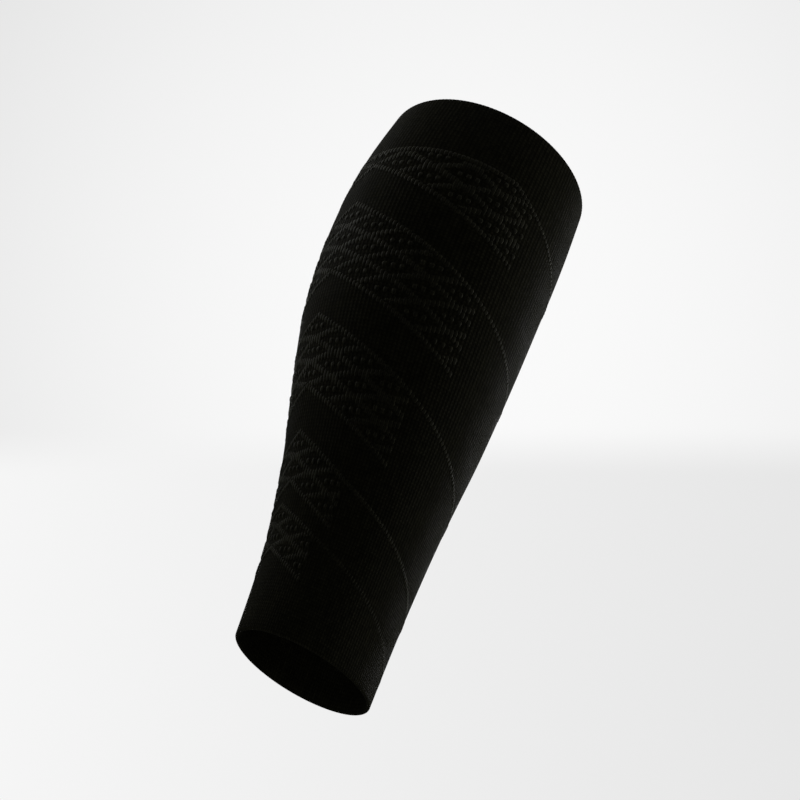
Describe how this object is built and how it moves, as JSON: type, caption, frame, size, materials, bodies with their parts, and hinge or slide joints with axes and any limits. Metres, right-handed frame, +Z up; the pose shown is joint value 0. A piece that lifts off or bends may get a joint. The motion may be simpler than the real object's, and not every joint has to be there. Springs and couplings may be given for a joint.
{
  "type": "calf compression sleeve",
  "caption": "Black seamless knitted sleeve shaped to the calf, open at knee and ankle, with raised tonal lattice bands that rise to a point on the calf and run out to thin lines round the shin.",
  "frame": {"origin": "on the line through the middle of both openings, level with the fullest part of the calf, where the sleeve sits on the leg", "axes": "+Z up the leg from the ankle opening to the knee opening, -Y towards the calf, +Y towards the shin, X from side to side"},
  "size_m": [0.1248, 0.1322, 0.3197],
  "materials": {
    "ground_knit": "matt black fine-rib stretch knit",
    "lattice_knit": "black raised lattice knit"
  },
  "bodies": {
    "root": {"leg_tube": "ground_knit", "lattice_band_1": "lattice_knit", "lattice_band_2": "lattice_knit", "lattice_band_3": "lattice_knit", "lattice_band_4": "lattice_knit", "lattice_band_5": "lattice_knit"}
  },
  "joints": []
}
